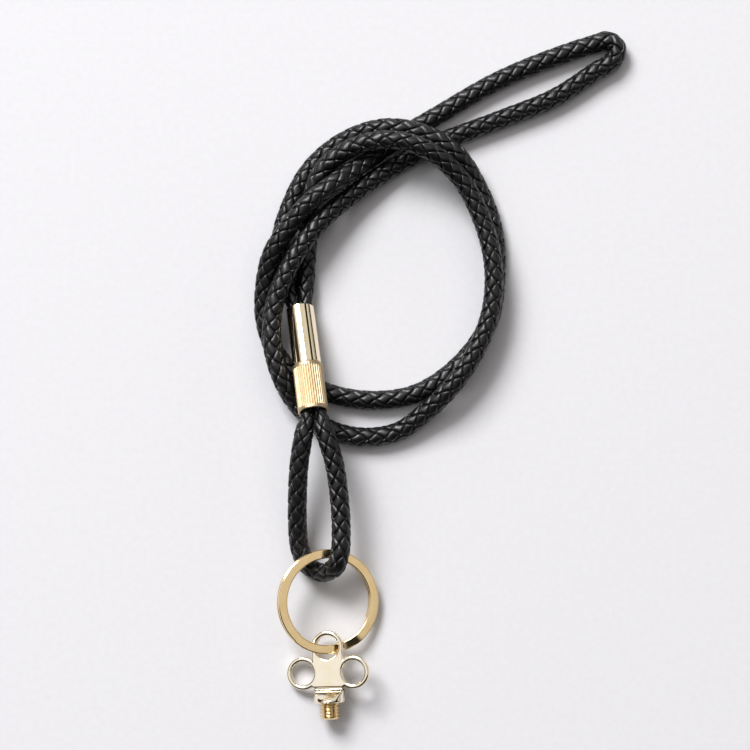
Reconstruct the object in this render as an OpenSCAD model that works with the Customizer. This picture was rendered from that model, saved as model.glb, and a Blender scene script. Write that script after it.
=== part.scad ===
// Wristlet keychain: one braided leather cord, doubled and tied in a loose overhand knot,
// a two-part screw ferrule, a short braided key loop, a split ring and a three-eyed key plate
// with a threaded stud. Millimetres, +Z up, lying on z = 0. The origin is on that surface,
// below the middle of the metal parts, and -Y points along the ferrule towards the stud.

/* [Cord] */
// Diameter of the braided cord
cord_d = 4.8; // [4.4:0.1:4.8]
// Diameter of a cord end where it is pared down to go into the ferrule
pared_d = 3; // [2.8:0.1:3.1]
// Diameter of a key loop end inside its cup
cup_cord_d = 2.4; // [2:0.1:2.4]

/* [Ferrule] */
// Outer diameter of the polished sleeve
sleeve_d = 7.2; // [7.1:0.1:7.4]
// Length of the polished sleeve
sleeve_len = 15.8; // [15:0.2:17]
// Outer diameter of the fluted collar
collar_d = 7.7; // [7.5:0.1:7.8]
// Length of the fluted collar
collar_len = 12.8; // [12:0.2:13]
// Number of flutes around the collar
flutes = 36; // [24:2:44]
// Diameter of the fine thread that joins the two halves
union_thread_d = 6.4; // [6.3:0.1:6.4]

/* [Split ring] */
// Outer diameter of the split ring
ring_od = 26.5; // [26:0.5:28]
// Width of the flat wire, across the ring
wire_w = 2.3; // [2:0.1:2.3]
// Thickness of the flat wire
wire_t = 1.15; // [1:0.05:1.15]

/* [Key plate] */
// Thickness of the three-eyed plate
plate_t = 2.3; // [2:0.1:2.4]
// Diameter of each eye
eye_d = 6; // [5.8:0.1:6]
// Width of metal around an eye
eye_rim = 1.2; // [1:0.1:1.3]
// Distance of the two lower eyes from the centre line
eye_dx = 6.6; // [6.4:0.1:6.8]
// Diameter of the round hub below the plate
hub_d = 7.8; // [7.4:0.1:7.8]
// Nominal diameter of the stud's thread
stud_d = 5; // [4:1:5]
// Length of stud standing out of the hub
stud_len = 4.1; // [3.5:0.1:5]

/* [Hidden] */
eps = 0.01;
round_fn = 96;
cord_sides = 10;

// The wrist cord's centre line, from one end in the sleeve round the knot to the wrist bend
// and back to the other end in the sleeve. The cord touches the table at half its diameter.
wrist_route = [
    [-8.3, 46, 5.9], [-9.1, 52.3, 4.2], [-11.5, 61, 2.4], [-12.5, 70, 2.4], [-10, 79, 2.4],
    [-4.5, 89, 2.5], [4.5, 96, 4.1], [15.5, 98.5, 7.2], [25, 96.5, 7.5], [32.2, 92.2, 6.6],
    [38.5, 83.5, 2.9], [42.5, 72, 2.4], [43, 60, 2.4], [41, 48.5, 2.4], [33.6, 37.8, 2.4],
    [22, 30, 2.4], [9, 28.5, 2.4], [-4, 32, 2.4], [-12.5, 39, 2.4], [-16.5, 49, 2.5],
    [-16.5, 58, 4.2], [-14.5, 66, 6.8], [-10.5, 72, 8.2], [-5.5, 78, 9.5], [0.5, 83, 9.3],
    [7, 88, 6.2], [15.5, 95, 2.6], [28.5, 103, 2.4], [44, 112, 2.4], [59.5, 118.5, 2.4],
    [68.5, 121.5, 2.5], [72.5, 122.5, 2.6], [74.8, 120.3, 2.8], [73.8, 117.5, 2.6],
    [69, 114.3, 2.5], [59.5, 108, 2.4], [44, 101.5, 2.4], [28.5, 95.5, 2.4], [19, 90.5, 2.4],
    [6, 81.5, 4.6], [-2.5, 73.5, 7.2], [-10.5, 61.5, 7.7], [-14.5, 48.5, 7.3], [-14, 40, 7.4],
    [-11.5, 32.5, 6.4], [-8, 27, 3.8], [-1, 21.5, 2.4], [8, 19, 2.4], [18, 20.5, 2.5],
    [24.5, 25, 4], [29.5, 29.5, 5.9], [36.8, 39.3, 7.3], [41.5, 51.5, 7.4], [42, 63, 7.4],
    [39, 75, 7.2], [34, 84.5, 8.2], [25, 92, 11], [15, 94.5, 11], [6, 93, 8.4],
    [-1.8, 87.4, 6.3], [-5, 79, 4.1], [-5.5, 70, 2.4], [-6, 61, 2.5], [-6, 52.7, 4.2],
    [-5.1, 46.4, 5.9]];
// The key loop's centre line, out of the collar, under and round the split ring and back.
key_route = [
    [-6, 31.8, 9.7], [-5.5, 28, 10.7], [-5.3, 24, 11.8], [-6.2, 18.5, 12], [-7.3, 11.5, 10.6],
    [-7.8, 2.5, 8], [-7.8, -4, 5.9], [-7.3, -9.3, 4.5], [-6, -12.8, 4], [-2.8, -15.6, 5],
    [0.5, -15.4, 7.6], [2.1, -14.2, 9.8], [3, -11.3, 10.8], [3.3, -5, 10.9], [2.8, 3, 11.2],
    [1.4, 12, 12], [-0.6, 18.5, 12.4], [-2.2, 24.5, 11.8], [-3, 28.4, 10.7], [-3.5, 32.2, 9.7]];

// Where the ferrule's two halves meet, and how its axis tips up and turns towards the loop.
joint_at = [-5.4, 36.6, 8.45];
ferrule_pitch = 15;
ferrule_yaw = 7.7;
bore_gap = 0.05;
sleeve_wall = 0.4;
sleeve_bore = sleeve_d - 2 * sleeve_wall;
spigot_root = 5;
spigot_len = 3.7;
o_ring_wire = 0.7;
o_ring_at = 0.9;
flange_at = 3.8;
flange_len = 1;
cup_len = 4.8;
cup_d = 5.5;
cup_bore = 5;
washer_t = 0.5;
lip_at = flange_at + flange_len + washer_t + 0.1;
lip_len = 1.2;
collar_start = 0.1;
collar_bore = union_thread_d + 0.2;
flute_r = 0.25;

// The split ring lies tilted: its left side is up on the key loop, its right side on the table.
ring_at = [-0.08, -23.15, 6.16];
ring_turn = [4.6, 19, 0];
ring_layer_gap = 0.05;
wire_edge = 0.3;
layer_z = (wire_t + ring_layer_gap) / 2;
// The wire starts at the free end of the lower turn, climbs between the turns and ends above.
lower_start = -20;
climb_start = 290;
climb_angle = 25;
upper_end = 589;
wire_step = 6;

// The plate rests on its hub and on its left eye.
plate_at = [-0.11, -34.55, 4.51];
plate_turn = [1.9, -16, 1.5];
eye_dy = 6.4;
lobe_r = eye_d / 2 + eye_rim;
plate_end = -10.2;
hub_face = -14;
hub_step = 0.6;
hub_slope = 49;
stud_root_d = 4;
stud_root = 1.5;

function unit(v) = v / norm(v);
// Direction of a route at one of its points, from the points on either side.
function heading(p, i) = unit(p[min(i + 1, len(p) - 1)] - p[max(i - 1, 0)]);
// The cord is pared down at both ends: the list holds its diameter at each point from an end.
function radius_at(p, i, pared) = let (k = min(i, len(p) - 1 - i))
    (k < len(pared) ? pared[k] : cord_d) / 2;
function side_of(t) = unit(cross(t, [0, 0, 1]));
function cord_ring(c, t, r) = [for (k = [0:cord_sides - 1]) let (a = 360 * (k + 0.5) / cord_sides)
    c + r * (cos(a) * side_of(t) + sin(a) * cross(side_of(t), t))];

// A plain tube with one ring of points at each point of its route.
module cord_tube(p, pared) {
    n = len(p);
    points = [for (i = [0:n - 1]) each cord_ring(p[i], heading(p, i), radius_at(p, i, pared))];
    walls = [for (i = [0:n - 2]) for (k = [0:cord_sides - 1]) let (m = (k + 1) % cord_sides)
        [i * cord_sides + k, i * cord_sides + m, (i + 1) * cord_sides + m, (i + 1) * cord_sides + k]];
    near_end = [[for (k = [cord_sides - 1:-1:0]) k]];
    far_end = [[for (k = [0:cord_sides - 1]) (n - 1) * cord_sides + k]];
    polyhedron(points, concat(walls, near_end, far_end), convexity = 12);
}

// Places a child whose z axis is the ferrule's axis, with z = 0 where the two halves meet.
module on_ferrule() {
    translate(joint_at) rotate([90 - ferrule_pitch, 0, ferrule_yaw]) children();
}

module on_ring() {
    translate(ring_at) rotate(ring_turn) children();
}

module on_plate() {
    translate(plate_at) rotate(plate_turn) children();
}

module turned(from, to, d) {
    translate([0, 0, from]) cylinder(d = d, h = to - from, $fn = round_fn);
}

module wrist_cord() {
    color("#222224") cord_tube(wrist_route, [pared_d, pared_d]);
}

module key_cord() {
    color("#222224") cord_tube(key_route, [cup_cord_d, cup_cord_d, pared_d]);
}

module polished_sleeve() {
    color("#e3c27a") on_ferrule() difference() {
        turned(-sleeve_len, 0, sleeve_d);
        turned(-sleeve_len - 1, 1, sleeve_bore);
    }
}

module threaded_spigot() {
    color("#b8924e") on_ferrule() difference() {
        union() {
            turned(-spigot_root, 0, sleeve_bore - bore_gap);
            turned(-eps, spigot_len, union_thread_d - bore_gap);
        }
        translate([0, 0, o_ring_at - o_ring_wire / 2]) difference() {
            turned(0, o_ring_wire, union_thread_d + 1);
            turned(-1, o_ring_wire + 1, union_thread_d - 2 * o_ring_wire - 0.1);
        }
    }
}

module locking_o_ring() {
    color("#303030") on_ferrule() translate([0, 0, o_ring_at])
        rotate_extrude($fn = round_fn) translate([(union_thread_d - o_ring_wire) / 2, 0])
        circle(d = o_ring_wire - 0.04, $fn = 24);
}

module key_cup() {
    color("#b8924e") on_ferrule() difference() {
        union() {
            turned(flange_at, flange_at + flange_len, union_thread_d);
            turned(flange_at + flange_len - eps, flange_at + cup_len, cup_d);
        }
        turned(flange_at + flange_len, flange_at + cup_len + 1, cup_bore);
    }
}

module slip_washer() {
    color("#d9d4c8") on_ferrule() translate([0, 0, flange_at + flange_len + 0.05]) difference() {
        turned(0, washer_t, union_thread_d);
        turned(-1, washer_t + 1, cup_d + 0.1);
    }
}

module fluted_collar() {
    color("#ecd398") on_ferrule() difference() {
        turned(collar_start, collar_len, collar_d);
        turned(0, lip_at, collar_bore);
        turned(lip_at - 1, lip_at + lip_len + 1, cup_d + 0.2);
        turned(lip_at + lip_len, collar_len + 1, collar_bore + 0.2);
        for (k = [0:flutes - 1]) rotate([0, 0, 360 * k / flutes]) translate([collar_d / 2, 0, 0])
            translate([0, 0, collar_start + 0.9]) cylinder(r = flute_r, h = collar_len - 1.8, $fn = 16);
    }
}

// Height of the wire's middle at an angle along it: below, climbing, then above.
function wire_z(a) = let (f = min(max((a - climb_start) / climb_angle, 0), 1))
    -layer_z * cos(180 * f);
// The wire's section, a flat bar with broken edges: distance outwards and height.
function bar_section() = let (w = wire_w / 2, t = wire_t / 2, c = wire_edge)
    [[-w + c, -t], [w - c, -t], [w, -t + c], [w, t - c], [w - c, t], [-w + c, t], [-w, t - c], [-w, -t + c]];
function wire_section(a) = [for (q = bar_section()) let (r = (ring_od - wire_w) / 2 + q[0])
    [r * cos(a), r * sin(a), wire_z(a) + q[1]]];

// One flat wire, wound into two turns that lie on each other.
module split_ring() {
    sweep = upper_end - lower_start;
    n = round(sweep / wire_step);
    c = len(bar_section());
    points = [for (i = [0:n]) each wire_section(lower_start + sweep * i / n)];
    walls = [for (i = [0:n - 1]) for (k = [0:c - 1]) let (m = (k + 1) % c)
        [c * i + k, c * i + m, c * i + c + m, c * i + c + k]];
    ends = [[for (k = [c - 1:-1:0]) k], [for (k = [0:c - 1]) c * n + k]];
    color("#e0b766") on_ring() polyhedron(points, concat(walls, ends), convexity = 6);
}

module eye_lobe(x, y) {
    translate([x, y, -plate_t / 2]) cylinder(r = lobe_r, h = plate_t, $fn = round_fn);
}

module eye_hole(x, y) {
    translate([x, y, -plate_t]) cylinder(d = eye_d, h = 2 * plate_t, $fn = round_fn);
}

// The hub is milled a little deeper than the plate's faces, and the cut slopes up to its skin.
module hub() {
    low = plate_t / 2 - hub_step;
    difference() {
        translate([0, plate_end + 0.3, 0]) rotate([90, 0, 0])
            cylinder(d = hub_d, h = plate_end + 0.3 - hub_face, $fn = round_fn);
        for (s = [0, 1]) mirror([0, 0, s]) translate([-hub_d, 0, 0]) rotate([90, 0, 90])
            linear_extrude(2 * hub_d) polygon([
                [plate_end + 1, low], [plate_end - 0.35, low],
                [plate_end - 0.35 - hub_d / 2 / tan(hub_slope), low + hub_d / 2],
                [plate_end + 1, low + hub_d / 2]]);
    }
}
module eye_plate() {
    waist = lobe_r - 0.1;
    foot = hub_d / 2;
    color("#e6d3a0") on_plate() difference() {
        union() {
            eye_lobe(0, 0);
            eye_lobe(-eye_dx, -eye_dy);
            eye_lobe(eye_dx, -eye_dy);
            translate([0, 0, -plate_t / 2]) linear_extrude(plate_t) polygon([
                [-waist, 0], [-waist, -eye_dy + lobe_r - 1], [-eye_dx, -eye_dy - 2], [-foot, plate_end],
                [foot, plate_end], [eye_dx, -eye_dy - 2], [waist, -eye_dy + lobe_r - 1], [waist, 0]]);
            hub();
        }
        eye_hole(0, 0);
        eye_hole(-eye_dx, -eye_dy);
        eye_hole(eye_dx, -eye_dy);
        translate([0, hub_face + stud_root, 0]) rotate([90, 0, 0])
            cylinder(d = stud_root_d + bore_gap, h = stud_root + 1, $fn = round_fn);
    }
}

module threaded_stud() {
    color("#e0c07c") on_plate() {
        translate([0, hub_face + stud_root - bore_gap, 0]) rotate([90, 0, 0])
            cylinder(d = stud_root_d, h = stud_root, $fn = round_fn);
        translate([0, hub_face - eps, 0]) rotate([90, 0, 0])
            cylinder(d = stud_d, h = stud_len, $fn = round_fn);
    }
}

wrist_cord();
key_cord();
polished_sleeve();
threaded_spigot();
locking_o_ring();
key_cup();
slip_washer();
fluted_collar();
split_ring();
eye_plate();
threaded_stud();
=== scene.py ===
# %% [markdown]
# # A wristlet keychain in braided leather and gold-plated brass
# One leather cord is doubled, tied in a loose overhand knot and held in a two-part screw
# ferrule. A short loop of the same cord comes out of the ferrule and carries a split ring with
# a three-eyed key plate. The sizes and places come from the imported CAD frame, so this file only
# gives the pieces their real surfaces: braided laces, flutes, rounded edges and a screw thread.

# %% Load the frame
import math

import bmesh
import bpy
from mathutils import Euler, Matrix, Vector


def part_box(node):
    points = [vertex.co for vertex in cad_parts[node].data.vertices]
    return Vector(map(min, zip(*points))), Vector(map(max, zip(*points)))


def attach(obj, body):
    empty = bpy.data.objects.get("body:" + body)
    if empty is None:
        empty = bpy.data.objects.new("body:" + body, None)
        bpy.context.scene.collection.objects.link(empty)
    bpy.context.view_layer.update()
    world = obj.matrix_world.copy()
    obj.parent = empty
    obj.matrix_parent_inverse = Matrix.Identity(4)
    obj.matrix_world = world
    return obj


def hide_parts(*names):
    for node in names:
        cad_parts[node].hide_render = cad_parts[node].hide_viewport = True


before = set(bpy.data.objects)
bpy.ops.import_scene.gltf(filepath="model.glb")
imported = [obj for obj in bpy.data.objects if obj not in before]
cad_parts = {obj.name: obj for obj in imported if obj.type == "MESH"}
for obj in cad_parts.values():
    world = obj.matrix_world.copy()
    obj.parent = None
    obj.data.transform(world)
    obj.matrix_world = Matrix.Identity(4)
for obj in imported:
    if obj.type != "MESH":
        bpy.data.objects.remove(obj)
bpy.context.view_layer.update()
MM = 0.001

# %% [markdown]
# ## Camera
# Small goods are shown lying on a table and seen from almost straight above. A long lens keeps
# the near stud and the far wrist loop at the same scale. The camera comes first, because the
# cords are judged by what it sees.

# %% Camera
scene = bpy.context.scene
camera_data = bpy.data.cameras.new("camera")
camera_data.lens = 130.7
camera_data.sensor_width = 36
camera_data.clip_start = 0.05
camera = bpy.data.objects.new("camera", camera_data)
camera.location = (0.0118, -0.0501, 0.6948)
camera.rotation_euler = (math.radians(7), 0, 0)
scene.collection.objects.link(camera)
scene.camera = camera
scene.view_settings.view_transform = "Standard"
print("camera height", round(camera.location.z, 3), "m")

# %% [markdown]
# ## Routes of the cords
# A cord is a fixed length of something springy. It is drawn as a line through a few points that
# a hand could place, and a smooth curve through them gives its true course. The points are the
# ones that the CAD solids follow, in millimetres. The curve's direction at a point is weighted
# towards its nearer neighbour, which keeps it from bulging where the points are uneven. The
# curve may dip a little between two points, so it is held at half a cord above the table.

# %% Routes
WRIST_ROUTE = [
    (-8.3, 46, 5.9), (-9.1, 52.3, 4.2), (-11.5, 61, 2.4), (-12.5, 70, 2.4), (-10, 79, 2.4),
    (-4.5, 89, 2.5), (4.5, 96, 4.1), (15.5, 98.5, 7.2), (25, 96.5, 7.5), (32.2, 92.2, 6.6),
    (38.5, 83.5, 2.9), (42.5, 72, 2.4), (43, 60, 2.4), (41, 48.5, 2.4), (33.6, 37.8, 2.4),
    (22, 30, 2.4), (9, 28.5, 2.4), (-4, 32, 2.4), (-12.5, 39, 2.4), (-16.5, 49, 2.5),
    (-16.5, 58, 4.2), (-14.5, 66, 6.8), (-10.5, 72, 8.2), (-5.5, 78, 9.5), (0.5, 83, 9.3),
    (7, 88, 6.2), (15.5, 95, 2.6), (28.5, 103, 2.4), (44, 112, 2.4), (59.5, 118.5, 2.4),
    (68.5, 121.5, 2.5), (72.5, 122.5, 2.6), (74.8, 120.3, 2.8), (73.8, 117.5, 2.6),
    (69, 114.3, 2.5), (59.5, 108, 2.4), (44, 101.5, 2.4), (28.5, 95.5, 2.4), (19, 90.5, 2.4),
    (6, 81.5, 4.6), (-2.5, 73.5, 7.2), (-10.5, 61.5, 7.7), (-14.5, 48.5, 7.3), (-14, 40, 7.4),
    (-11.5, 32.5, 6.4), (-8, 27, 3.8), (-1, 21.5, 2.4), (8, 19, 2.4), (18, 20.5, 2.5),
    (24.5, 25, 4), (29.5, 29.5, 5.9), (36.8, 39.3, 7.3), (41.5, 51.5, 7.4), (42, 63, 7.4),
    (39, 75, 7.2), (34, 84.5, 8.2), (25, 92, 11), (15, 94.5, 11), (6, 93, 8.4),
    (-1.8, 87.4, 6.3), (-5, 79, 4.1), (-5.5, 70, 2.4), (-6, 61, 2.5), (-6, 52.7, 4.2),
    (-5.1, 46.4, 5.9)]
KEY_ROUTE = [
    (-6, 31.8, 9.7), (-5.5, 28, 10.7), (-5.3, 24, 11.8), (-6.2, 18.5, 12), (-7.3, 11.5, 10.6),
    (-7.8, 2.5, 8), (-7.8, -4, 5.9), (-7.3, -9.3, 4.5), (-6, -12.8, 4), (-2.8, -15.6, 5),
    (0.5, -15.4, 7.6), (2.1, -14.2, 9.8), (3, -11.3, 10.8), (3.3, -5, 10.9), (2.8, 3, 11.2),
    (1.4, 12, 12), (-0.6, 18.5, 12.4), (-2.2, 24.5, 11.8), (-3, 28.4, 10.7), (-3.5, 32.2, 9.7)]
TABLE_CLEAR = 2.46 * MM


def smooth_course(route, pieces=16):
    """Points close together on the smooth curve through a route in millimetres, in metres."""
    points = [Vector(p) * MM for p in route]
    gaps = [(b - a).length for a, b in zip(points, points[1:])]
    slopes = [(b - a) / d for a, b, d in zip(points, points[1:], gaps)]
    turns = [(slopes[i] * gaps[i + 1] + slopes[i + 1] * gaps[i]) / (gaps[i] + gaps[i + 1])
             for i in range(len(slopes) - 1)]
    turns = [slopes[0]] + turns + [slopes[-1]]
    course = []
    for i, gap in enumerate(gaps):
        for k in range(pieces):
            t = k / pieces
            share = 3 * t ** 2 - 2 * t ** 3
            leave = gap * (t ** 3 - 2 * t ** 2 + t)
            arrive = gap * (t ** 3 - t ** 2)
            point = points[i] * (1 - share) + points[i + 1] * share
            point += turns[i] * leave + turns[i + 1] * arrive
            point.z = max(point.z, TABLE_CLEAR)
            course.append(point)
    return course + [points[-1]]


def line_length(course):
    return sum((b - a).length for a, b in zip(course, course[1:]))


wrist_course = smooth_course(WRIST_ROUTE)
key_course = smooth_course(KEY_ROUTE)
print("wrist cord", round(line_length(wrist_course), 4), "m; key loop",
      round(line_length(key_course), 4), "m")

# %% [markdown]
# ## A line that can be read at any distance
# Everything on a cord is placed by how far along it is. This small class walks the course once
# and carries a sideways direction with it that never spins about the cord, so the braid is not
# twisted by the bends. After that it answers any distance with a point and two directions.


# %% Distance along a cord
class CordLine:
    def __init__(self, course):
        self.points = course
        self.along = [0.0]
        for a, b in zip(course, course[1:]):
            self.along.append(self.along[-1] + (b - a).length)
        last = len(course) - 1
        self.heads = [(course[min(i + 1, last)] - course[max(i - 1, 0)]).normalized()
                      for i in range(last + 1)]
        side = self.heads[0].cross(Vector((0, 0, 1))).normalized()
        self.sides = []
        for head in self.heads:
            side = (side - head * side.dot(head)).normalized()
            self.sides.append(side)
        self.length = self.along[-1]

    def at(self, distance, cursor):
        """Centre, side and up at a distance, looking on from the segment number in cursor."""
        while cursor < len(self.along) - 2 and self.along[cursor + 1] < distance:
            cursor += 1
        while cursor > 0 and self.along[cursor] > distance:
            cursor -= 1
        share = (distance - self.along[cursor]) / (self.along[cursor + 1] - self.along[cursor])
        centre = self.points[cursor].lerp(self.points[cursor + 1], share)
        head = self.heads[cursor].lerp(self.heads[cursor + 1], share).normalized()
        side = self.sides[cursor].lerp(self.sides[cursor + 1], share)
        side = (side - head * side.dot(head)).normalized()
        return centre, side, head.cross(side), cursor


wrist_line = CordLine(wrist_course)
key_line = CordLine(key_course)
print("steps on the wrist cord:", len(wrist_course))

# %% [markdown]
# ## The braid
# Eight flat leather laces are braided round a soft core: four wind one way, four the other, and
# each goes over one and under one. Where a lace is on top it shows as one slanted, puffy scale,
# so the cord shows eight columns of scales around. A lace could be a bevelled curve, but a
# curve keeps its section square to itself and can't dive under its neighbour along that
# neighbour's edge. So each lace starts as a flat grid that is rolled into a thin rounded strip
# and laid on the core, and its height above the core follows the laces that it crosses.

# %% Braid sizes
LAY = 17 * MM
LACES = 4
LACE_WIDTH = 2.6 * MM
LACE_THICK = 0.86 * MM
LACE_MIDDLE = 1.63 * MM
LACE_LIFT = 0.42 * MM
LACE_DIVE = 3.2
CORE_R = 1.35 * MM
CORE_SIDES = 12
STATION = 0.4 * MM
SECTION_POINTS = 14
SECTION_SQUARENESS = 0.42
SAME_POINT = 0.002 * MM
MAP_SHIFT = 0.013
TWIST = 2 * math.pi / LAY
LACE_ANGLE = math.atan(TWIST * (LACE_MIDDLE + LACE_LIFT))
print("laces run", round(math.degrees(LACE_ANGLE), 1), "degrees off the cord")

# %% [markdown]
# A cord end is pared down where it goes into the metal, so the braid's section shrinks smoothly
# there: full size along the cord, and about half size in the ferrule. The taper is a list of
# distances from an end with the size that the cord has there.

# %% Pared ends
WRIST_TAPER = [(0, 0.62), (5 * MM, 0.66), (14 * MM, 1)]
KEY_TAPER = [(0, 0.5), (3.5 * MM, 0.52), (8 * MM, 0.66), (14 * MM, 1)]


def cord_size(distance, length, taper):
    """Share of its full diameter that the cord has at a distance along it."""
    d = min(distance, length - distance)
    for (d0, s0), (d1, s1) in zip(taper, taper[1:]):
        if d < d1:
            t = max(0.0, (d - d0) / (d1 - d0))
            return s0 + (s1 - s0) * t * t * (3 - 2 * t)
    return 1.0


print("size at an end", cord_size(0, 1, WRIST_TAPER), "and along it",
      cord_size(0.5, 1, WRIST_TAPER))

# %% [markdown]
# Rolled grids are closed in one way, and every piece becomes an object in one way, so both steps
# are functions. The object stays at the origin, and its place is in its mesh.


# %% Close and finish a mesh
def close_roll(bm):
    """Joins the long edges of rolled grids, caps their ends and turns their faces outwards."""
    bmesh.ops.remove_doubles(bm, verts=bm.verts, dist=SAME_POINT)
    bmesh.ops.holes_fill(bm, edges=[e for e in bm.edges if e.is_boundary], sides=0)
    bmesh.ops.recalc_face_normals(bm, faces=bm.faces)


def finish_mesh(bm, name, sharp=None):
    """A smooth-shaded object at the origin from a bmesh. With sharp, an angle in degrees, edges
    that are sharper stay crisp, and flat faces look flat beside their rounded edges."""
    mesh = bpy.data.meshes.new(name)
    bm.to_mesh(mesh)
    bm.free()
    mesh.polygons.foreach_set("use_smooth", [True] * len(mesh.polygons))
    if sharp:
        mesh.set_sharp_from_angle(angle=math.radians(sharp))
    piece = bpy.data.objects.new(name, mesh)
    scene.collection.objects.link(piece)
    if sharp:
        flats = piece.modifiers.new("flat_faces", "WEIGHTED_NORMAL")
        flats.keep_sharp = True
    return piece


print("points closer than", round(SAME_POINT / MM, 4), "mm are joined")

# %% [markdown]
# The grid's long side runs along the cord and its short side goes once round the lace's own
# section. Its long edges meet, so merging doubled points closes the strip, and two caps close
# its ends. Its map holds real distances along and around the lace, for the leather's grain.


# %% Lay the laces
def signed_power(value, power):
    return math.copysign(abs(value) ** power, value)


def lay_lace(bm, line, taper, hand, start_angle, number):
    """Adds one lace. hand is 1 or -1, the way that it winds."""
    steps = round(line.length / STATION)
    made = bmesh.ops.create_grid(bm, x_segments=steps, y_segments=SECTION_POINTS, size=1,
                                 calc_uvs=True)
    uv = bm.loops.layers.uv.active
    faces = {f for v in made["verts"] for f in v.link_faces}
    real = (line.length / math.cos(LACE_ANGLE), 2 * (LACE_WIDTH + LACE_THICK))
    for face in faces:
        for loop in face.loops:
            loop[uv].uv = (loop[uv].uv.x * real[0] + number * MAP_SHIFT, loop[uv].uv.y * real[1])
    cursor = 0
    slant = math.sin(LACE_ANGLE)
    for vert in sorted(made["verts"], key=lambda v: (v.co.x, v.co.y)):
        distance = (vert.co.x + 1) / 2 * line.length
        turn = vert.co.y * math.pi
        size = cord_size(distance, line.length, taper)
        across = LACE_WIDTH / 2 * signed_power(math.cos(turn), SECTION_SQUARENESS)
        thick = LACE_THICK / 2 * signed_power(math.sin(turn), SECTION_SQUARENESS)
        here = min(max(distance - hand * across * slant * size, 0.0), line.length)
        angle = start_angle + hand * TWIST * distance + across * math.cos(LACE_ANGLE) / (
            LACE_MIDDLE + LACE_LIFT)
        crossing = math.cos(2 * (angle + hand * TWIST * here) + 2 * start_angle)
        lift = hand * math.tanh(LACE_DIVE * crossing)
        radius = size * (LACE_MIDDLE + LACE_LIFT * lift + thick)
        centre, side, up, cursor = line.at(here, cursor)
        vert.co = centre + (side * math.cos(angle) + up * math.sin(angle)) * radius


print("a lace's section has", SECTION_POINTS, "points")

# %% [markdown]
# Four laces that wind the same way never cross each other, so they make one piece. The two
# pieces of a cord, left and right, interlock.


# %% Braid both cords
def braid_half(name, line, taper, hand):
    """The four laces that wind one way, as one piece."""
    bm = bmesh.new()
    bm.loops.layers.uv.new("lace")
    for number in range(LACES):
        lay_lace(bm, line, taper, hand, number * 2 * math.pi / LACES, number)
    close_roll(bm)
    piece = finish_mesh(bm, name)
    print(name, len(piece.data.polygons), "faces")
    return piece


wrist_left = braid_half("wrist_cord_left_laces", wrist_line, WRIST_TAPER, 1)
wrist_right = braid_half("wrist_cord_right_laces", wrist_line, WRIST_TAPER, -1)
key_left = braid_half("key_loop_left_laces", key_line, KEY_TAPER, 1)
key_right = braid_half("key_loop_right_laces", key_line, KEY_TAPER, -1)

# %% [markdown]
# The core is a round bundle of soft fibre. Only dark glimpses of it show at the corners of the
# scales, but without it there would be holes through the cord. A plain rolled grid is enough.


# %% Core
def core(name, line, taper):
    bm = bmesh.new()
    steps = round(line.length / (2 * STATION))
    bmesh.ops.create_grid(bm, x_segments=steps, y_segments=CORE_SIDES, size=1)
    cursor = 0
    for vert in sorted(bm.verts, key=lambda v: (v.co.x, v.co.y)):
        distance = (vert.co.x + 1) / 2 * line.length
        turn = vert.co.y * math.pi
        centre, side, up, cursor = line.at(distance, cursor)
        radius = CORE_R * cord_size(distance, line.length, taper)
        vert.co = centre + (side * math.cos(turn) + up * math.sin(turn)) * radius
    close_roll(bm)
    return finish_mesh(bm, name)


wrist_core = core("wrist_cord_core", wrist_line, WRIST_TAPER)
key_core = core("key_loop_core", key_line, KEY_TAPER)
print("core faces", len(wrist_core.data.polygons) + len(key_core.data.polygons))

# %% [markdown]
# The CAD cords are hidden, and both braided cords and their cores move with the strap. The wrist
# cord leaves the sleeve and comes back into it, and the key loop leaves the collar and comes back
# into it.

for piece, node in ((wrist_left, "wrist_cord"), (key_left, "key_cord")):
    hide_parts(node)
for piece in (wrist_left, wrist_right, wrist_core, key_left, key_right, key_core):
    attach(piece, "strap")

# %% [markdown]
# ## Colours and nodes
# Colours are picked as sRGB hex values, and the renderer works in linear light, so one function
# turns one into the other. One small function adds a node with its settings and links, a colour
# ramp's stops among them, which keeps each material readable as a short list of what feeds what.
# It leaves the links to a second one, because the shader itself is already there to be fed.


# %% Material helpers
def linear(code):
    parts = [int(code[i:i + 2], 16) / 255 for i in (1, 3, 5)]
    return [c / 12.92 if c <= 0.04045 else ((c + 0.055) / 1.055) ** 2.4 for c in parts] + [1]


def feed(tree, node, **sockets):
    """Sets a node's sockets. A socket's value is a constant or another node's output, and in0,
    in1 and in2 are sockets by number, where a node gives several the same name."""
    for key, value in sockets.items():
        numbered = key[:2] == "in" and key[2:].isdigit()
        socket = node.inputs[int(key[2:]) if numbered else key.replace("_", " ")]
        if isinstance(value, bpy.types.NodeSocket):
            tree.links.new(value, socket)
        else:
            socket.default_value = value


def add(tree, kind, settings=None, stops=(), **sockets):
    """Adds a node with its settings and links. stops are a ramp's places and hex colours."""
    made = tree.nodes.new(kind)
    for key, value in (settings or {}).items():
        setattr(made, key, value)
    for number, (place, code) in enumerate(stops):
        elements = made.color_ramp.elements
        stop = elements[number] if number < len(elements) else elements.new(1)
        stop.position = place
        stop.color = linear(code)
    feed(tree, made, **sockets)
    return made


def new_material(name):
    material = bpy.data.materials.new(name)
    material.use_nodes = True
    tree = material.node_tree
    return material, tree, tree.nodes["Principled BSDF"]


print("leather black is", [round(c, 4) for c in linear("#242426")])

# %% [markdown]
# ## Black braided leather
# The laces are drum-dyed cowhide, cut and rounded, with a light wax finish. That gives a deep
# charcoal with broad soft highlights, a fine pebble of pores about 0.3 mm across, and creases
# where a lace bends under its neighbour. Leather's index of refraction is about 1.5. The grain
# follows each lace through its own map, which holds real distances.

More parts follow.
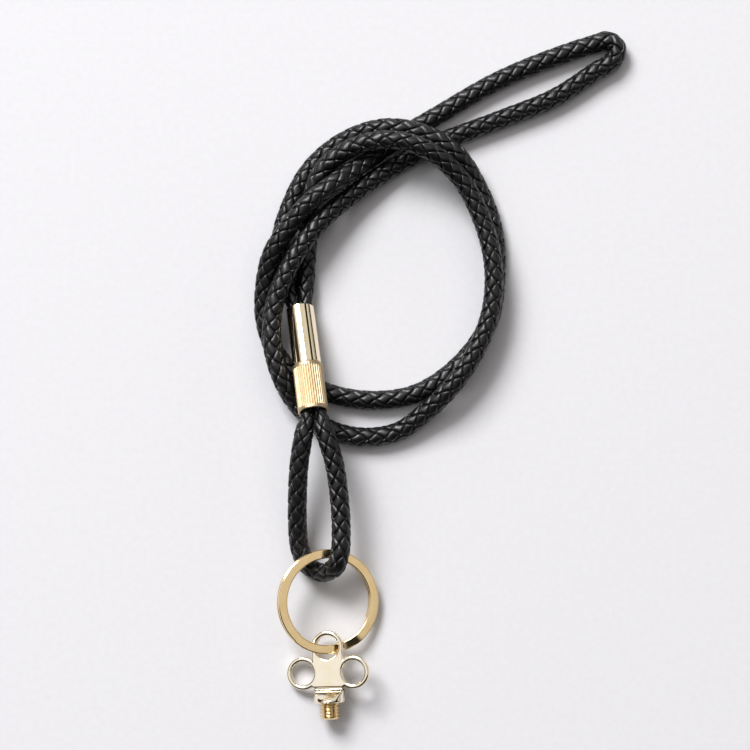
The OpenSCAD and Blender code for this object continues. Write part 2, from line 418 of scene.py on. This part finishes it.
# %% Leather
PORE = 0.3 * MM
FIBRE_LONG = 1.6 * MM
FIBRE_WIDE = 0.35 * MM
DYE_CLOUD = 2.5 * MM
GRAIN_DEPTH = 0.05 * MM
leather, tree, shader = new_material("waxed_black_cowhide_lace")
lace_map = add(tree, "ShaderNodeUVMap", {"uv_map": "lace"})
pores = add(tree, "ShaderNodeTexVoronoi", {"feature": "SMOOTH_F1"}, Vector=lace_map.outputs["UV"],
            Scale=1 / PORE, Smoothness=0.6)
along = add(tree, "ShaderNodeMapping", Vector=lace_map.outputs["UV"],
            Scale=(1 / FIBRE_LONG, 1 / FIBRE_WIDE, 1))
fibres = add(tree, "ShaderNodeTexNoise", Vector=along.outputs["Vector"], Scale=1, Detail=4,
             Roughness=0.6)
clouds = add(tree, "ShaderNodeTexNoise", Vector=lace_map.outputs["UV"], Scale=1 / DYE_CLOUD,
             Detail=3)
grain = add(tree, "ShaderNodeMath", {"operation": "MULTIPLY_ADD"}, in0=fibres.outputs["Fac"],
            in1=0.6, in2=pores.outputs["Distance"])
bump = add(tree, "ShaderNodeBump", Strength=0.5, Distance=GRAIN_DEPTH, Height=grain.outputs[0])
tone = add(tree, "ShaderNodeValToRGB", stops=((0.3, "#0a0a0b"), (0.7, "#131315")),
           Fac=clouds.outputs["Fac"])
gloss = add(tree, "ShaderNodeMapRange", Value=fibres.outputs["Fac"], To_Min=0.28, To_Max=0.42)
feed(tree, shader, Base_Color=tone.outputs["Color"], Roughness=gloss.outputs["Result"], IOR=1.5,
     Normal=bump.outputs["Normal"])
for piece in (wrist_left, wrist_right, key_left, key_right):
    piece.data.materials.append(leather)
print(leather.name, "with pores of", round(PORE / MM, 2), "mm")

# %% [markdown]
# The core is spun black polyester fibre: almost no gloss, with fine threads along the cord.

# %% Core fibre
THREAD = 0.4 * MM
THREAD_RELIEF = 0.05 * MM
fibre, tree, shader = new_material("spun_polyester_core")
place = add(tree, "ShaderNodeTexCoord")
threads = add(tree, "ShaderNodeTexNoise", Vector=place.outputs["Object"], Scale=1 / THREAD,
              Detail=2)
tone = add(tree, "ShaderNodeValToRGB", stops=((0.3, "#0b0b0c"), (0.7, "#161617")),
           Fac=threads.outputs["Fac"])
bump = add(tree, "ShaderNodeBump", Strength=0.4, Distance=THREAD_RELIEF,
           Height=threads.outputs["Fac"])
feed(tree, shader, Base_Color=tone.outputs["Color"], Roughness=0.9, IOR=1.55,
     Normal=bump.outputs["Normal"])
for piece in (wrist_core, key_core):
    piece.data.materials.append(fibre)
print(fibre.name, "with threads of", round(THREAD / MM, 2), "mm")

# %% [markdown]
# ## Gold-plated brass
# The hardware is machined brass with a thin flash of pale gold. Polished gold takes its colour
# from its metal: pale yellow when it faces the light, and deeper where it sees itself. Real
# polish still holds faint hairlines and a slight waviness, which keep its reflections from
# looking computed. One function builds every metal here, and each finish changes its tone, its
# mean roughness and the grit that it was polished or satined with, in millimetres.


# %% Metal finishes
PLATING_CLOUD = 3 * MM
SMOOTHEST = 0.7
ROUGHEST = 1.4


def metal_finish(name, pale, deep, rough, grit_mm, relief_mm, stretch=(1, 1, 1)):
    """A metal with two close tones, and fine grit that varies its roughness about a mean."""
    material, tree, shader = new_material(name)
    place = add(tree, "ShaderNodeTexCoord")
    lines = add(tree, "ShaderNodeMapping", Vector=place.outputs["Object"],
                Scale=[s / (grit_mm * MM) for s in stretch])
    grit = add(tree, "ShaderNodeTexNoise", Vector=lines.outputs["Vector"], Scale=1, Detail=5,
               Roughness=0.55)
    wave = add(tree, "ShaderNodeTexNoise", Vector=place.outputs["Object"], Scale=1 / PLATING_CLOUD,
               Detail=1)
    tone = add(tree, "ShaderNodeValToRGB", stops=((0.3, pale), (0.7, deep)),
               Fac=wave.outputs["Fac"])
    gloss = add(tree, "ShaderNodeMapRange", Value=grit.outputs["Fac"], To_Min=rough * SMOOTHEST,
                To_Max=rough * ROUGHEST)
    bump = add(tree, "ShaderNodeBump", Strength=0.3, Distance=relief_mm * MM,
               Height=grit.outputs["Fac"])
    feed(tree, shader, Base_Color=tone.outputs["Color"], Metallic=1,
         Roughness=gloss.outputs["Result"], Normal=bump.outputs["Normal"])
    return material


polished = metal_finish("mirror_polished_gold_plate", "#fcefd2", "#f9e8c4", 0.06, 0.5, 0.001,
                        stretch=(1, 0.1, 1))
satin = metal_finish("satin_turned_gold_plate", "#c6b493", "#bda785", 0.44, 0.25, 0.001)
ring_gold = metal_finish("tumble_polished_gold_wire", "#f8e0b2", "#f4d8a3", 0.12, 0.3, 0.001)
plate_gold = metal_finish("hand_polished_gold_casting", "#fbf1dd", "#f8ebd1", 0.09, 0.4, 0.001)
thread_gold = metal_finish("rolled_thread_gold_plate", "#f1dcb4", "#e8cd9c", 0.16, 0.3, 0.001)
brass = metal_finish("turned_bare_brass", "#d9b874", "#cfa962", 0.3, 0.2, 0.006)
print("metal finishes:", polished.name, satin.name, ring_gold.name, plate_gold.name,
      thread_gold.name, brass.name)

# %% [markdown]
# ## Where the metal parts are
# Each group of parts has its own placement, the same one that the CAD model uses: the ferrule
# tips up towards the key loop, the ring leans with one side on the table, and the plate rests
# on its hub and one eye. Pieces are modelled upright in their group's own axes and then moved
# into place in their mesh, so that every object stays at the origin.


# %% Placements
def placed(at, turn):
    return Matrix.Translation(Vector(at) * MM) @ Euler(
        [math.radians(a) for a in turn]).to_matrix().to_4x4()


ON_FERRULE = placed((-5.4, 36.6, 8.45), (75, 0, 7.7))
ON_RING = placed((-0.08, -23.15, 6.16), (4.6, 19, 0))
ON_PLATE = placed((-0.11, -34.55, 4.51), (1.9, -16, 1.5))


def stand_for(piece, node, body, material):
    """Gives a new piece its material, hides the CAD node that it stands for, moves it with its
    body and prints how far their boxes differ.
    """
    piece.data.materials.append(material)
    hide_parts(node)
    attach(piece, body)
    gap = 0
    for axis, (low, high) in enumerate(zip(*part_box(node))):
        reach = [v.co[axis] for v in piece.data.vertices]
        gap = max(gap, abs(min(reach) - low), abs(max(reach) - high))
    print(piece.name, "differs from its CAD box by", round(gap / MM, 2), "mm,",
          len(piece.data.polygons), "faces")
    return piece


print("ferrule axis", [round(x, 3) for x in ON_FERRULE.col[2][:3]])

# %% [markdown]
# ## Polished sleeve
# The sleeve is a thin tube cut from stock and turned on a lathe, with its edges broken. A lathe
# part is a profile spun about its axis, so its half section is drawn once, spun, and its sharp
# rims are bevelled. A screw modifier could do the same, but a spin leaves a plain closed mesh.


# %% Lathe work
def turned(profile, steps=128):
    """A bmesh ring from a closed profile of (radius, height) in millimetres, about z."""
    bm = bmesh.new()
    verts = [bm.verts.new((r * MM, 0, z * MM)) for r, z in profile]
    edges = [bm.edges.new((a, b)) for a, b in zip(verts, verts[1:] + verts[:1])]
    bmesh.ops.spin(bm, geom=verts + edges, cent=(0, 0, 0), axis=(0, 0, 1), angle=2 * math.pi,
                   steps=steps, use_merge=True)
    bmesh.ops.recalc_face_normals(bm, faces=bm.faces)
    return bm


def break_edges(bm, width_mm, segments=3, sharper_than=50, clamp=True):
    """Rounds the edges where faces meet at more than an angle."""
    sharp = [e for e in bm.edges if e.is_manifold and e.is_convex
             and e.calc_face_angle() > math.radians(sharper_than)]
    bmesh.ops.bevel(bm, geom=sharp, offset=width_mm * MM, affect="EDGES", segments=segments,
                    profile=0.5, material=-1, clamp_overlap=clamp)


SLEEVE_R = 3.6
SLEEVE_BORE_R = 3.2
SLEEVE_LEN = 15.8
SLEEVE_RIM = 0.14
bm = turned([(SLEEVE_BORE_R, 0), (SLEEVE_R, 0), (SLEEVE_R, -SLEEVE_LEN),
             (SLEEVE_BORE_R, -SLEEVE_LEN)])
break_edges(bm, SLEEVE_RIM)
bm.transform(ON_FERRULE)
sleeve = finish_mesh(bm, "sleeve_polished", sharp=40)
stand_for(sleeve, "polished_sleeve", "strap", polished)

# %% [markdown]
# ## Fluted collar
# The collar screws onto the sleeve's thread, and fine flutes give the fingers a grip. They are
# rolled in, so they are round-bottomed and stop short of a plain band at each end. The collar
# is spun with eight steps to a flute, and the points of its outer wall are then pushed inwards
# by a wave that repeats at every flute. Cutting 36 grooves with booleans would be slower.

# %% Collar sizes
FLUTES = 36
FLUTE_DEPTH = 0.26
FLUTE_STEPS = 8
COLLAR_R = 3.85
COLLAR_LEN = 12.8
RUN_IN = 0.2
START_Z = 0.1
BAND = 0.9
COLLAR_RIM = 0.16
SQUARE_CORNER = math.radians(70)
SLEEVE_SIDE_R = 3.3
CORD_SIDE_R = 3.4
LIP_R = 2.85
LIP_LOW = 5.4
LIP_HIGH = 6.6
COLLAR_PROFILE = [
    (SLEEVE_SIDE_R, START_Z), (COLLAR_R, START_Z), (COLLAR_R, START_Z + BAND),
    (COLLAR_R, START_Z + BAND + RUN_IN), (COLLAR_R, COLLAR_LEN - BAND - RUN_IN),
    (COLLAR_R, COLLAR_LEN - BAND), (COLLAR_R, COLLAR_LEN), (CORD_SIDE_R, COLLAR_LEN),
    (CORD_SIDE_R, LIP_HIGH), (LIP_R, LIP_HIGH), (LIP_R, LIP_LOW), (SLEEVE_SIDE_R, LIP_LOW)]
print("collar", COLLAR_LEN, "mm long with", FLUTES, "flutes")

# %% [markdown]
# Only the two rings of points inside the bands are moved, and the long faces between them carry
# the flutes. The rims are bevelled after that, so their rounding stays even.

# %% Collar
FLUTE_SHARPNESS = 3
SKIN_R = (COLLAR_R - 0.05) * MM
bm = turned(COLLAR_PROFILE, steps=FLUTES * FLUTE_STEPS)
for vert in bm.verts:
    radius = math.hypot(vert.co.x, vert.co.y)
    fluted = START_Z + BAND + RUN_IN / 2 < vert.co.z / MM < COLLAR_LEN - BAND - RUN_IN / 2
    if fluted and radius > SKIN_R:
        wave = 0.5 - 0.5 * math.cos(FLUTES * math.atan2(vert.co.y, vert.co.x))
        wave = wave ** FLUTE_SHARPNESS
        vert.co.xy *= 1 - FLUTE_DEPTH * MM / radius * wave
square = [e for e in bm.edges if e.is_manifold and e.is_convex
          and e.calc_face_angle() > SQUARE_CORNER]
rims = [e for e in square if all(math.hypot(*v.co.xy) > SKIN_R for v in e.verts)]
bmesh.ops.bevel(bm, geom=rims, offset=COLLAR_RIM * MM, affect="EDGES", segments=3, profile=0.5,
                material=-1, clamp_overlap=True)
bm.transform(ON_FERRULE)
collar = finish_mesh(bm, "collar_fluted", sharp=50)
stand_for(collar, "fluted_collar", "collar", satin)

# %% [markdown]
# ## Split ring
# A split ring is one flat wire wound into two turns that lie on each other, with a short climb
# where it passes from the lower turn to the upper. The wire's section is swept step by step:
# each step extrudes the last section's edges, turns them about the ring's axis and lifts them
# when the wire climbs. The section is a flat bar whose corners are rounded first.

# %% Ring sizes
RING_R = (26.5 - 2.3) / 2
WIRE_W = 2.3
WIRE_T = 1.0
WIRE_ROUND = 0.3
LAYER_Z = 0.6
LOWER_START = -20
CLIMB_START = 290
CLIMB_ANGLE = 25
UPPER_END = 589
WIRE_STEP = 3


def wire_height(angle):
    share = min(max((angle - CLIMB_START) / CLIMB_ANGLE, 0), 1)
    return -LAYER_Z * math.cos(math.pi * share)


print("wire climbs from", wire_height(LOWER_START), "to", wire_height(UPPER_END), "mm")

# %% [markdown]
# The bar's section is drawn flat, its corners are rounded, and it is stood up at the lower end
# of the wire before the sweep begins.

# %% Sweep the wire
bm = bmesh.new()
bar = bmesh.ops.create_grid(bm, x_segments=1, y_segments=1, size=0.5)
bmesh.ops.scale(bm, verts=bar["verts"], vec=(WIRE_W * MM, WIRE_T * MM, 1))
bmesh.ops.bevel(bm, geom=list(bm.verts), offset=WIRE_ROUND * MM, affect="VERTICES", segments=4,
                profile=0.5, material=-1)
bmesh.ops.rotate(bm, verts=bm.verts, matrix=Matrix.Rotation(math.radians(90), 3, "X"))
bmesh.ops.translate(bm, verts=bm.verts, vec=(RING_R * MM, 0, wire_height(LOWER_START) * MM))
bmesh.ops.rotate(bm, verts=bm.verts, matrix=Matrix.Rotation(math.radians(LOWER_START), 3, "Z"))
edge_ring = list(bm.edges)
step = Matrix.Rotation(math.radians(WIRE_STEP), 3, "Z")
angle = LOWER_START
while angle < UPPER_END:
    grown = bmesh.ops.extrude_edge_only(bm, edges=edge_ring)["geom"]
    verts = [g for g in grown if isinstance(g, bmesh.types.BMVert)]
    edge_ring = [g for g in grown if isinstance(g, bmesh.types.BMEdge)
                 and all(v in verts for v in g.verts)]
    bmesh.ops.rotate(bm, verts=verts, matrix=step)
    rise = wire_height(angle + WIRE_STEP) - wire_height(angle)
    bmesh.ops.translate(bm, verts=verts, vec=(0, 0, rise * MM))
    angle += WIRE_STEP
bmesh.ops.holes_fill(bm, edges=[e for e in bm.edges if e.is_boundary], sides=0)
bmesh.ops.recalc_face_normals(bm, faces=bm.faces)
bm.transform(ON_RING)
ring = finish_mesh(bm, "split_ring_wire", sharp=50)
stand_for(ring, "split_ring", "ring", ring_gold)

# %% [markdown]
# ## Key plate
# The plate is one piece of brass: three eyes, a waist and a round hub that is milled a little
# deeper than the plate, with a slope up to its skin. That form is exact in the CAD solid, so a
# copy of it is used. The copy's loose triangles are merged and dissolved into whole faces, and
# its outer edges are rounded, as polishing leaves them. The weighted normals keep the flat faces
# flat beside the round edges.


# %% Plate
def copy_solid(node):
    """A bmesh copy of a CAD node with merged points and whole flat faces."""
    bm = bmesh.new()
    bm.from_mesh(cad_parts[node].data)
    bmesh.ops.remove_doubles(bm, verts=bm.verts, dist=SAME_POINT)
    bmesh.ops.dissolve_limit(bm, angle_limit=math.radians(1), verts=bm.verts, edges=bm.edges)
    return bm


PLATE_ROUND = 0.5
bm = copy_solid("eye_plate")
break_edges(bm, PLATE_ROUND, segments=4, sharper_than=35, clamp=False)
bmesh.ops.triangulate(bm, faces=[f for f in bm.faces if len(f.verts) > 4])
plate = finish_mesh(bm, "key_plate_three_eyes", sharp=60)
stand_for(plate, "eye_plate", "charm", plate_gold)

# %% [markdown]
# ## Threaded stud
# The stud carries a coarse screw thread with a rounded crest and a lead-in chamfer. The thread
# is one helix, so a point's depth depends on its height and its angle together. The stud is
# spun as a plain pin with many short steps along it, and its wall is then moved in and out by
# that helical wave, which fades before the chamfer and at the hub.

# %% Stud
STUD_R = 2.5
STUD_LEN = 4.1
THREAD_PITCH = 0.8
THREAD_DEPTH = 0.49
THREAD_CREST = 1.2
THREAD_START = 0.3
LEAD_IN = 0.45
ROOT_LEN = 0.5
POLE_R = 0.01
STUD_FACE = -14
WALL_STEPS = 64
wall = [(STUD_R, STUD_LEN * i / WALL_STEPS) for i in range(WALL_STEPS + 1)]
root = [(POLE_R, -ROOT_LEN), (STUD_R, -ROOT_LEN)]
bm = turned(root + wall + [(POLE_R, STUD_LEN)], steps=72)
for vert in bm.verts:
    radius = math.hypot(vert.co.x, vert.co.y)
    height = vert.co.z / MM
    if radius > STUD_R / 2 * MM and height >= 0:
        phase = 2 * math.pi * height / THREAD_PITCH - math.atan2(vert.co.y, vert.co.x)
        groove = (0.5 + 0.5 * math.cos(phase)) ** THREAD_CREST
        fade = min(1, height / THREAD_START)
        chamfer = max(0, height - (STUD_LEN - LEAD_IN))
        vert.co.xy *= 1 - max(THREAD_DEPTH * groove * fade, chamfer) * MM / radius
bmesh.ops.remove_doubles(bm, verts=bm.verts, dist=3 * POLE_R * MM)
bmesh.ops.recalc_face_normals(bm, faces=bm.faces)
bmesh.ops.rotate(bm, verts=bm.verts, matrix=Matrix.Rotation(math.radians(90), 3, "X"))
bmesh.ops.translate(bm, verts=bm.verts, vec=(0, STUD_FACE * MM, 0))
bm.transform(ON_PLATE)
stud = finish_mesh(bm, "stud_threaded", sharp=60)
stand_for(stud, "threaded_stud", "charm", thread_gold)

# %% [markdown]
# ## Parts inside the ferrule
# The spigot, the cup that grips the loop's ends, the rubber ring and the washer sit inside the
# ferrule and keep their CAD shapes. Each gets the finish that such a part has: bare turned
# brass, moulded black rubber with a dry bloom, and blank stamped steel.

# %% Hidden parts
rubber, tree, shader = new_material("moulded_nitrile_rubber")
place = add(tree, "ShaderNodeTexCoord")
bloom = add(tree, "ShaderNodeTexNoise", Vector=place.outputs["Object"], Scale=1 / (0.2 * MM),
            Detail=3)
tone = add(tree, "ShaderNodeValToRGB", stops=((0.35, "#151515"), (0.65, "#242423")),
           Fac=bloom.outputs["Fac"])
bump = add(tree, "ShaderNodeBump", Strength=0.2, Distance=0.01 * MM, Height=bloom.outputs["Fac"])
feed(tree, shader, Base_Color=tone.outputs["Color"], Roughness=0.65, IOR=1.52,
     Normal=bump.outputs["Normal"])
steel = metal_finish("stamped_bright_steel", "#cfcfcc", "#bdbdbb", 0.28, 0.15, 0.004)
for node, material in (("threaded_spigot", brass), ("key_cup", brass), ("locking_o_ring", rubber),
                       ("slip_washer", steel)):
    for number in range(len(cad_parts[node].material_slots)):
        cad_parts[node].material_slots[number].material = material
    print(node, "is", material.name)

# %% [markdown]
# ## Table top
# The table is a wide sheet of matt white board. It is large enough to fill every view, and its
# faint tooth keeps the shadow on it soft and even.

# %% Floor
TABLE_REACH = 3
TOOTH = 1.5 * MM
board, tree, shader = new_material("matt_white_board")
place = add(tree, "ShaderNodeTexCoord")
tooth = add(tree, "ShaderNodeTexNoise", Vector=place.outputs["Object"], Scale=1 / TOOTH,
            Detail=2)
tone = add(tree, "ShaderNodeValToRGB", stops=((0.3, "#dfdee2"), (0.7, "#e2e1e5")),
           Fac=tooth.outputs["Fac"])
feed(tree, shader, Base_Color=tone.outputs["Color"], Roughness=0.85, Specular_IOR_Level=0.2)
bm = bmesh.new()
bmesh.ops.create_grid(bm, x_segments=1, y_segments=1, size=TABLE_REACH)
floor = finish_mesh(bm, "table_board")
floor.data.materials.append(board)
print("table", 2 * TABLE_REACH, "m across")

# %% [markdown]
# ## Studio light
# Polished metal is a picture of the room, so the room matters as much as the lamp. A large soft
# box hangs high on the far left and throws the soft shadow to the lower right. The surroundings
# are white overhead, with a dark band on the right and a dark left wall, which draw the brown
# stripes on the polished sleeve. The near side of the room is dark, so an edge that faces it
# turns into a thin dark line.

# %% Lights
KEY_AT = Vector((-0.95, 1.5, 1.75))
KEY_SIZE = 1.1
KEY_WATTS = 68
key_data = bpy.data.lights.new("soft_box_key", "AREA")
key_data.shape = "SQUARE"
key_data.size = KEY_SIZE
key_data.energy = KEY_WATTS
key_lamp = bpy.data.objects.new("soft_box_key", key_data)
key_lamp.location = KEY_AT
key_lamp.rotation_euler = (-KEY_AT).to_track_quat("-Z", "Y").to_euler()
scene.collection.objects.link(key_lamp)
print("key light", round(KEY_AT.length, 2), "m away,", KEY_WATTS, "W")

# %% [markdown]
# The room is a colour ramp over how far a direction leans left or right of straight up, from
# level on the left to level on the right. It is multiplied by a dark near side.

# %% Room
ROOM_STOPS = [(0, "#3a3028"), (0.14, "#3a3028"), (0.18, "#e6e4e2"), (0.3, "#ffffff"),
              (0.4, "#ffffff"), (0.48, "#dadada"), (0.7, "#e6e1da"), (0.735, "#ded7ce"),
              (0.75, "#1e1812"), (0.82, "#2a2017"), (0.84, "#4a3b2a"), (0.86, "#e9e7e4"),
              (1, "#8d8b88")]
ROOM_STRENGTH = 0.95
NEAR_DARK = 0.03
world = bpy.data.worlds.new("studio")
scene.world = world
world.use_nodes = True
tree = world.node_tree
around = add(tree, "ShaderNodeTexCoord")
parts = add(tree, "ShaderNodeSeparateXYZ", Vector=around.outputs["Generated"])
lean = add(tree, "ShaderNodeMath", {"operation": "ARCTAN2"}, in0=parts.outputs["X"],
           in1=parts.outputs["Z"])
share = add(tree, "ShaderNodeMapRange", Value=lean.outputs[0], From_Min=-math.pi / 2,
            From_Max=math.pi / 2)
room = add(tree, "ShaderNodeValToRGB", stops=ROOM_STOPS, Fac=share.outputs["Result"])
near = add(tree, "ShaderNodeMapRange", Value=parts.outputs["Y"], From_Min=-0.35, From_Max=-0.15,
           To_Min=NEAR_DARK)
shade = add(tree, "ShaderNodeMixRGB", {"blend_type": "MULTIPLY"}, Fac=1,
            Color1=room.outputs["Color"], Color2=near.outputs["Result"])
feed(tree, tree.nodes["Background"], Color=shade.outputs["Color"], Strength=ROOM_STRENGTH)
print("room of", len(ROOM_STOPS), "tones")
